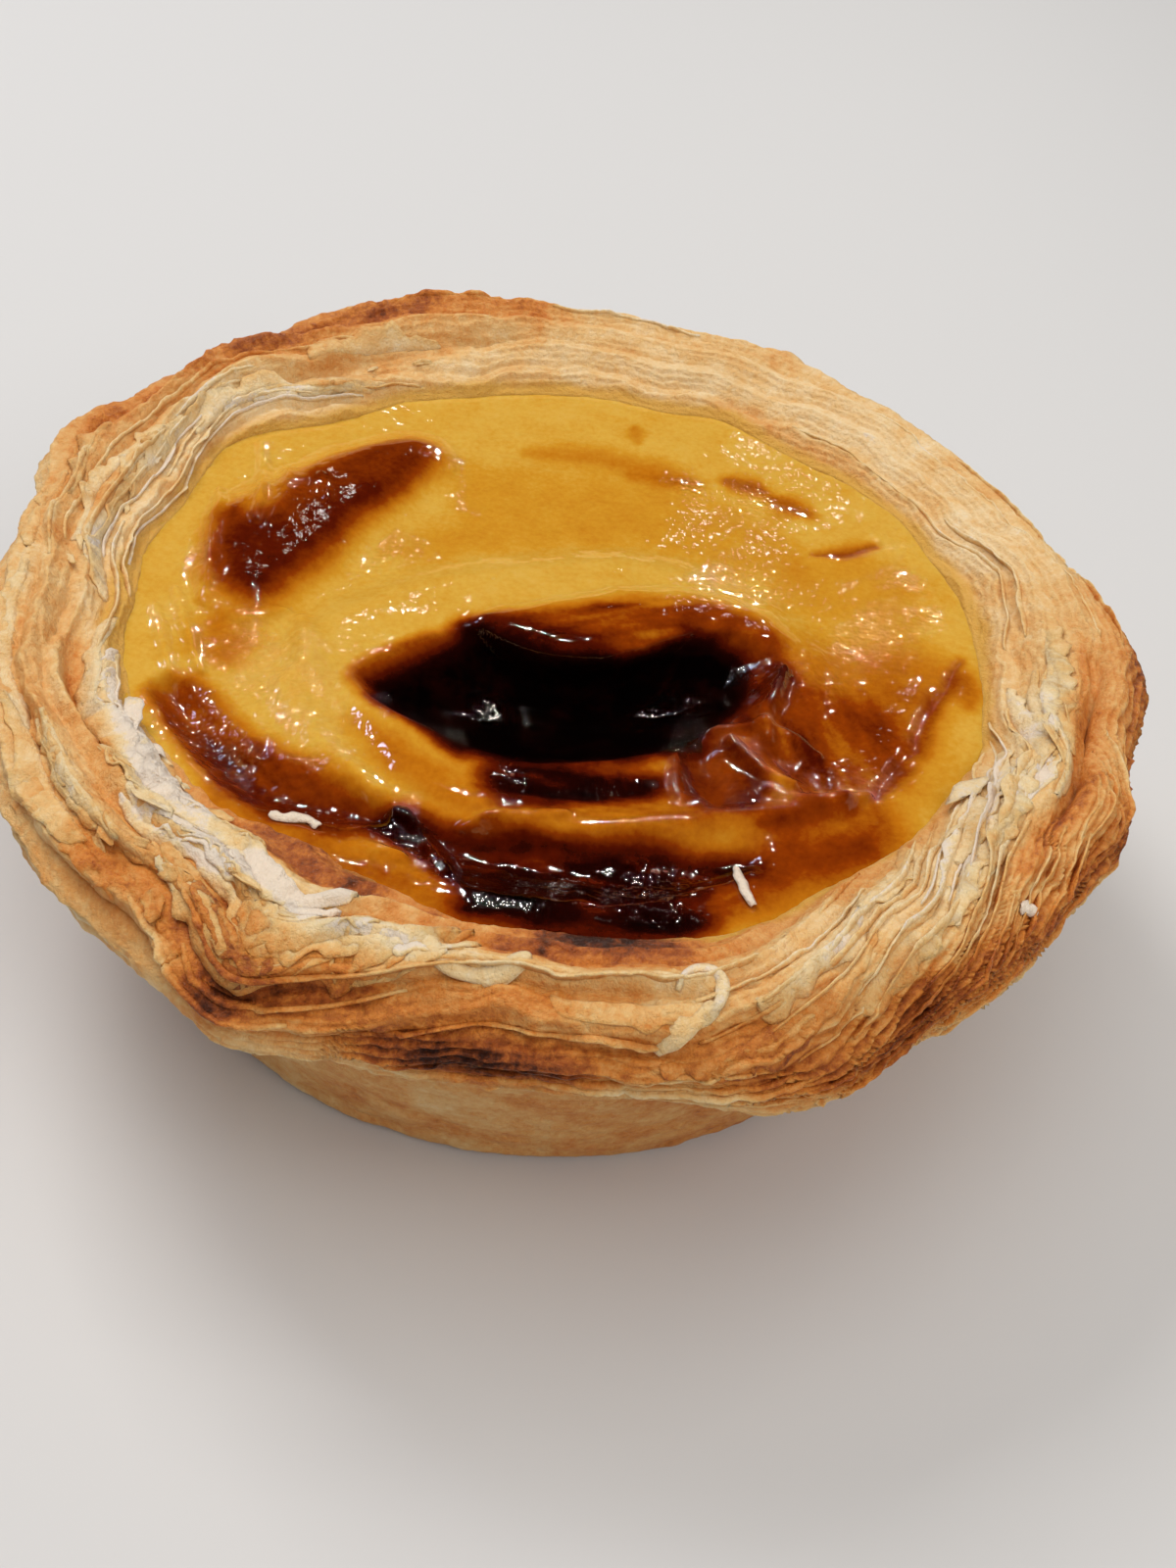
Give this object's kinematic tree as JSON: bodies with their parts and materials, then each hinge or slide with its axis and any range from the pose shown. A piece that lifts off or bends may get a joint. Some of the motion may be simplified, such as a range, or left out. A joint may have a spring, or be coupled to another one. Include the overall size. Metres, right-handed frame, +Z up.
{
  "type": "custard tart",
  "caption": "Round puff pastry cup with a flared, layered rim, filled level with set custard whose blistered skin is scorched in bands and round a sunken middle.",
  "frame": {"origin": "middle of the flat foot of the pastry cup, which rests on a plate or table", "axes": "+Z up through the tart, +X to the right and -Y to the front as the tart is usually looked at"},
  "size_m": [0.0758, 0.0746, 0.0251],
  "materials": {
    "pastry_crust": "dry baked puff pastry, pale cream in its layers and browned on its edges",
    "custard_filling": "moist glossy egg custard skin, yellow, caramel brown and scorched"
  },
  "bodies": {
    "root": {"pastry_crust": "pastry_crust", "custard_filling": "custard_filling"}
  },
  "joints": []
}
